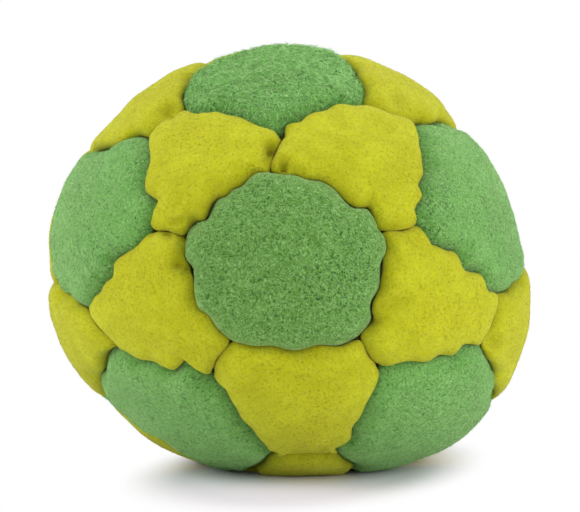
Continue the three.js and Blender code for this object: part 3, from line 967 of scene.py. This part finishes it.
def markSeams(piece, points, ringSize):
    # how near the lip every point is, for the painted shade along the seams and in the folds (a painted
    # pale highlight on the front panel)
    crownEnd = 1 + len(crownRings) * ringSize
    near = np.ones(len(points))
    near[:crownEnd] = 0
    for place, distance in enumerate(lipRings[::-1]):
        start = crownEnd + place * ringSize
        near[start:start + ringSize] = math.exp(-distance / panelSet["edgeReach"])
    folds = dimplesAt(points, unit(points - heart), panelSet["foldReach"]) / panelSet["foldDepth"]
    near = np.maximum(near, np.clip(folds, 0, 1))
    layer = piece.data.attributes.new("seamNear", "FLOAT", "POINT")
    layer.data.foreach_set("value", near.astype(np.float32))


def layFlat(piece, points, middle, number):
    # the cloth laid flat, in millimetres, for the pattern of its fibres
    across = unit(np.cross([0.0, 0.0, 1.0], middle))
    upwards = np.cross(middle, across)
    away = points - heart
    reach = np.arccos(np.clip(unit(away) @ middle, -1, 1)) * meanRadius / mm
    sideways = np.stack([away @ across, away @ upwards], axis=1)
    length = np.maximum(np.linalg.norm(sideways, axis=1), 1e-9)
    flatPlaces = sideways / length[:, None] * reach[:, None] + number * panelSet["flatApart"]
    layer = piece.data.uv_layers.new(name="clothFlat")
    vertexOfLoop = readNumbers(piece.data.loops, "vertex_index", 1, np.int32)[:, 0]
    layer.data.foreach_set("uv", flatPlaces[vertexOfLoop].astype(np.float32).ravel())


def makePanel(name, number, panel, material):
    points, ringCount = panelRings(panel, number)
    ringSize = len(panel["rim"])
    piece = meshPiece(name + "_cloth", points, loftFaces(ringCount, ringSize), material)
    markSeams(piece, points, ringSize)
    layFlat(piece, points, panel["middle"], number)
    return piece


fillingSet = {
    # lengths are in mm
    "fill": 0.8,
    "cuts": 3,
    "grainDepth": 0.12,  # that the hollows between the grains go in
    "grainNoise": (2600, 900, 0.5),  # fine and coarse to a metre, and the share of the coarse one
    "underCloth": 0.95,  # from the outer face of the cloth to the sand
    "underSeam": 3.8,
    "riseReach": 9,  # from a seam to where the cloth has its whole rise
    "furrowWidth": (1.3, 2.2),  # from a seam, over which the sand falls away under it
}


def makeFilling(material, panels):
    # the loose sand: its grainy skin only goes inwards from the CAD's, and falls away under every seam
    chosen = fillingSet
    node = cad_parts["sand_filling"]
    piece = bpy.data.objects.new("sandFilling_grains", node.data.copy())
    bpy.context.scene.collection.objects.link(piece)
    piece.data.materials.clear()
    piece.data.materials.append(material)
    makeActive(piece)
    bpy.ops.object.mode_set(mode="EDIT")
    bpy.ops.mesh.select_all(action="SELECT")
    bpy.ops.mesh.remove_doubles(threshold=1e-6)
    bpy.ops.mesh.subdivide(number_cuts=chosen["cuts"])
    bpy.ops.object.mode_set(mode="OBJECT")
    bpy.ops.object.shade_smooth()

    seams = np.concatenate([panel["rim"] for panel in panels.values()])
    tree = kdtree.KDTree(len(seams))
    for k, direction in enumerate(seams):
        tree.insert(direction, k)
    tree.balance()
    away = readNumbers(piece.data.vertices, "co", 3) - heart
    radius = np.linalg.norm(away, axis=1)
    directions = away / radius[:, None]
    toSeam = np.array([tree.find(direction)[2] for direction in directions]) * meanRadius / mm
    skin = bagPoints(directions, np.zeros(len(directions)))
    rise = panelSet["panelRise"] * np.clip(1 - toSeam / chosen["riseReach"], 0, 1) ** 2
    cover = chosen["underCloth"] + rise + np.maximum(dimplesAt(skin, directions), 0)
    narrow, wide = chosen["furrowWidth"]
    cover = cover + (chosen["underSeam"] - cover) * (1 - smoothStep(narrow, wide, toSeam))
    radius = np.minimum(radius, np.linalg.norm(skin - heart, axis=1) - cover * mm)
    fine, coarse, coarseShare = chosen["grainNoise"]
    hollows = np.array([0.5 + noise.noise(vertex.co * fine) + coarseShare * noise.noise(vertex.co * coarse)
                        for vertex in piece.data.vertices])
    radius = radius - np.maximum(hollows, 0) * chosen["grainDepth"] * mm
    piece.data.vertices.foreach_set("co", (heart + directions * radius[:, None]).ravel())
    piece.data.update()
    return piece


threadSet = {
    # lengths are in mm
    "plies": 2,
    "plyRadius": 0.105,
    "plyOffset": 0.085,
    "twist": 1.1,  # of thread to one turn
    "stitchLength": 1.7,
    "stitchSway": 0.16,
    "depth": 1.2,  # below the bottom of the crease
    "sample": 0.19,
    "sides": 5,
    "smoothTimes": 3,
    "sameSeam": 0.03,  # on the unit sphere: panels nearer than this to a seam's middle share it
}


def evenlyAlong(points, spacing, closed):
    # points at an even spacing along a line, and its length
    line = np.concatenate([points, points[:1]]) if closed else points
    reached = np.concatenate([[0], np.cumsum(np.linalg.norm(np.diff(line, axis=0), axis=1))])
    count = max(4, round(reached[-1] / spacing))
    wanted = np.linspace(0, reached[-1], count, endpoint=not closed)
    return np.stack([np.interp(wanted, reached, line[:, axis]) for axis in range(3)], axis=1), reached[-1]


def threadRun(path, closed):
    # two plies wound round each other, swaying from stitch to stitch
    chosen = threadSet
    points, length = evenlyAlong(path, chosen["sample"] * mm, closed)
    count = len(points)
    if closed:
        along = unit(np.roll(points, -1, axis=0) - np.roll(points, 1, axis=0))
    else:
        along = unit(np.gradient(points, axis=0))
    sideways = unit(np.cross(along, points - heart))
    outwards = np.cross(sideways, along)
    share = np.arange(count) / (count if closed else count - 1)
    stitches = max(1, round(length / (chosen["stitchLength"] * mm) / 2))
    sway = np.sin(2 * math.pi * stitches * share) * chosen["stitchSway"] * mm
    points = points + sideways * sway[:, None]
    turns = max(1, round(length / (chosen["twist"] * mm)))
    madePoints, madeFaces = [], []
    sides = chosen["sides"]
    for ply in range(chosen["plies"]):
        angle = 2 * math.pi * (turns * share + ply / chosen["plies"])
        centre = points + (sideways * np.cos(angle)[:, None]
                           + outwards * np.sin(angle)[:, None]) * chosen["plyOffset"] * mm
        start = sum(len(part) for part in madePoints)
        section = []
        for side in range(sides):
            turn = 2 * math.pi * side / sides
            section.append(centre + (sideways * math.cos(turn) + outwards * math.sin(turn))
                           * chosen["plyRadius"] * mm)
        madePoints.append(np.stack(section, axis=1).reshape(-1, 3))
        for k in range(count if closed else count - 1):
            one, two = start + k * sides, start + (k + 1) % count * sides
            madeFaces += [(one + n, one + (n + 1) % sides, two + (n + 1) % sides, two + n)
                          for n in range(sides)]
        if not closed:
            madeFaces.append(tuple(start + n for n in reversed(range(sides))))
            madeFaces.append(tuple(start + (count - 1) * sides + n for n in range(sides)))
    return np.concatenate(madePoints), madeFaces


def makeThread(panels, material):
    # one closed run round each pentagon, and a short run along each seam between two hexagons
    chosen = threadSet
    steps = panelSet["samplesPerStep"]
    crease = (panelSet["creaseDepth"] + panelSet["panelRise"]) * mm
    corners = cadRing["corners"]["hexagon"]
    runs = []
    for name, panel in panels.items():
        line = unit(smoothedRing(panel["rim"], chosen["smoothTimes"]))
        if name.startswith("pentagon"):
            runs.append((line, True))
            continue
        for first, last in zip(corners[::2], corners[1::2]):
            short = line[first * steps:last * steps + 1]
            middle = short.mean(axis=0)
            other = next(key for key, found in panels.items() if key != name and key.startswith("hexagon")
                         and np.linalg.norm(found["rim"] - middle, axis=1).min() < chosen["sameSeam"])
            if name < other:
                runs.append((short, False))
    points, faces = [], []
    for directions, closed in runs:
        madePoints, madeFaces = threadRun(bagPoints(directions, crease, chosen["depth"] * mm), closed)
        start = sum(len(part) for part in points)
        points.append(madePoints)
        faces += [tuple(start + corner for corner in face) for face in madeFaces]
    return meshPiece("seamThread_stitches", np.concatenate(points), faces, material)


napSet = {
    # fibres on a square mm; their length and width in mm; how steeply they rise, in radians; whether they
    # are bent; and how many rings at the lip have none
    "pentagon": {"density": 26, "length": (0.25, 0.65), "width": 0.05, "rise": (0.05, 0.6),
                 "bent": False, "bare": 2},
    "hexagon": {"density": 24, "length": (0.18, 0.45), "width": 0.05, "rise": (0.05, 0.5),
                "bent": False, "bare": 2},
    "pentagon_panel_front": {"density": 30, "length": (0.2, 0.6), "width": 0.055, "rise": (0.05, 0.5),
                             "bent": False, "bare": 5},
    "pentagon_panel_fore_1": {"density": 18, "length": (0.5, 1.2), "width": 0.055, "rise": (0.1, 0.7),
                              "bent": True, "bare": 2},
}

fibreSet = {
    "seed": 400,
    "widths": (0.7, 1.2),  # shares of the usual width
    "turn": 0.5,  # radians by which the second half of a fibre turns aside, and how much less it rises
    "tipRise": 0.3,
    "footDepth": 0.03,  # mm that the foot is set into the cloth
    "bendWidth": 0.8,
    "corners": (0, 2.1, 4.2),  # of its section, in radians
    "spike": ((2, 1, 0), (0, 1, 3), (1, 2, 3), (2, 0, 3)),
    "bentSpike": ((2, 1, 0), (0, 1, 4, 3), (1, 2, 5, 4), (2, 0, 3, 5), (3, 4, 6), (4, 5, 6), (5, 3, 6)),
    "shader": {"Roughness": 0.85, "Specular IOR Level": 0.2},
    "sheenShare": 0.8,  # of the cloth's sheen
}

napTones = {
    # share of the fibres, colour
    "pentagon": ((0.32, linearColour(120, 192, 86)), (0.34, linearColour(154, 222, 118)),
                 (0.18, linearColour(200, 244, 168)), (0.16, linearColour(46, 106, 32))),
    # the front's fibres are darker too: painted shade, like its cloth
    "front": ((0.34, linearColour(100, 161, 69)), (0.3, linearColour(143, 198, 105)),
              (0.16, linearColour(190, 232, 154)), (0.2, linearColour(36, 88, 26))),
    "hexagon": ((0.4, linearColour(196, 197, 22)), (0.3, linearColour(221, 221, 52)),
                (0.12, linearColour(240, 240, 124)), (0.18, linearColour(166, 150, 8))),
}


def napMaterials(finish):
    # one plain fibre finish for each tone
    made = []
    cloth = {"pentagon": greenSet, "front": frontSet, "hexagon": yellowSet}[finish]
    for place, (share, colour) in enumerate(napTones[finish]):
        material, add = emptyMaterial(f"{finish}Fibre{place + 1}")
        coat(add, colour, {"Sheen Weight": cloth["sheen"] * fibreSet["sheenShare"],
                           "Sheen Tint": cloth["sheenTint"], **fibreSet["shader"]})
        made.append(material)
    return made


def fibrePoints(cloth, name, ringSize, draw):
    # every fibre is a thin closed spike: the corners of its foot, those of its bend if any, its tip
    chosen = napSet.get(name, napSet[name.split("_")[0]])
    mesh = cloth.data
    mesh.calc_loop_triangles()
    spots = readNumbers(mesh.vertices, "co", 3)
    normals = readNumbers(mesh.vertex_normals, "vector", 3)
    corners = readNumbers(mesh.loop_triangles, "vertices", 3, np.int32)
    faceOf = readNumbers(mesh.loop_triangles, "polygon_index", 1, np.int32)[:, 0]
    corners = corners[faceOf < ringSize * (len(crownRings) + len(lipRings) - chosen["bare"])]

    one, two, three = (spots[corners[:, n]] for n in range(3))
    areas = np.linalg.norm(np.cross(two - one, three - one), axis=1) / 2
    count = int(areas.sum() / mm ** 2 * chosen["density"])
    picked = np.searchsorted(np.cumsum(areas), draw.random(count) * areas.sum())
    weights = draw.dirichlet((1, 1, 1), count)[:, :, None]
    roots = (spots[corners[picked]] * weights).sum(axis=1)
    upwards = unit((normals[corners[picked]] * weights).sum(axis=1))

    across = unit(np.cross(upwards, draw.normal(size=(count, 3))))
    rise = draw.uniform(*chosen["rise"], count)[:, None]
    length = draw.uniform(*chosen["length"], count)[:, None] * mm
    width = chosen["width"] * mm * draw.uniform(*fibreSet["widths"], count)[:, None]
    turn = draw.normal(0, fibreSet["turn"], count)[:, None]
    sideways = np.cross(upwards, across)
    first = across * np.cos(rise) + upwards * np.sin(rise)
    bentAcross = across * np.cos(turn) + sideways * np.sin(turn)
    tipRise = rise * fibreSet["tipRise"]
    second = bentAcross * np.cos(tipRise) + upwards * np.sin(tipRise)
    foot = roots - upwards * fibreSet["footDepth"] * mm
    bend = foot + first * length * 0.5
    tip = bend + second * length * 0.5
    sections = [(foot, 1.0)]
    if chosen["bent"]:
        sections.append((bend, fibreSet["bendWidth"]))
    rows = []
    for centre, share in sections:
        for angle in fibreSet["corners"]:
            outwards = sideways * math.cos(angle) + upwards * math.sin(angle)
            rows.append(centre + outwards * width / 2 * share)
    points = np.stack(rows + [tip], axis=1)
    points = points[points[:, :, 2].min(axis=1) > 0]  # the floor presses the rest flat
    return points, fibreSet["bentSpike" if chosen["bent"] else "spike"]


def makeNap(cloth, name, number, ringSize, finish):
    # short fibres that stand and lie on the outer face of a panel
    draw = np.random.default_rng(fibreSet["seed"] + number)
    points, pattern = fibrePoints(cloth, name, ringSize, draw)
    count, corners = points.shape[:2]
    loops = np.array([corner for face in pattern for corner in face])
    sizes = np.tile([len(face) for face in pattern], count)
    shares = np.array([share for share, colour in napTones[finish]])
    tones = np.searchsorted(np.cumsum(shares), draw.random(count) * shares.sum())

    nap = bpy.data.meshes.new(name + "_nap")
    nap.vertices.add(count * corners)
    nap.vertices.foreach_set("co", points.ravel())
    nap.loops.add(len(loops) * count)
    places = (loops[None] + corners * np.arange(count)[:, None]).ravel()
    nap.loops.foreach_set("vertex_index", places.astype(np.int32))
    nap.polygons.add(len(sizes))
    nap.polygons.foreach_set("loop_start", (np.cumsum(sizes) - sizes).astype(np.int32))
    for material in fibreFinishes[finish]:
        nap.materials.append(material)
    nap.polygons.foreach_set("material_index", np.repeat(tones, len(pattern)).astype(np.int32))
    nap.update(calc_edges=True)
    nap.validate()
    piece = bpy.data.objects.new(name + "_nap", nap)
    bpy.context.scene.collection.objects.link(piece)
    return piece


suedes = {"front": suede(frontSet), "pentagon": suede(greenSet), "hexagon": suede(yellowSet)}
fibreFinishes = {finish: napMaterials(finish) for finish in napTones}
print("finishes made")

panelNames = sorted(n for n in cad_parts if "_panel_" in n)
panels = {name: readPanel(name) for name in panelNames}
closeSeams(panels)
tugSeams(panels)
openPits(panels)
print("seams read")

filling = makeFilling(drySand(sandFinish), panels)
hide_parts("sand_filling")
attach(filling, "root")
print("filling made")

thread = makeThread(panels, spunThread(threadFinish))
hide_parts("seam_thread")
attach(thread, "root")
print("thread made")

for number, name in enumerate(panelNames):
    shape = name.split("_")[0]
    finish = "front" if name == "pentagon_panel_front" else shape
    cloth = makePanel(name, number, panels[name], suedes[finish])
    nap = makeNap(cloth, name, number, len(panels[name]["rim"]), finish)
    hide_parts(name)
    for piece in (cloth, nap):
        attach(piece, "root")
print("panels made:", len(panelNames))

placeCamera()
for lampName, (power, size, place) in lightSet["lamps"].items():
    placeLight(lampName, power, size, place)
setWorld()
placeFloor()
bpy.context.scene.view_settings.view_transform = "Standard"
print("camera, lamps and floor placed")
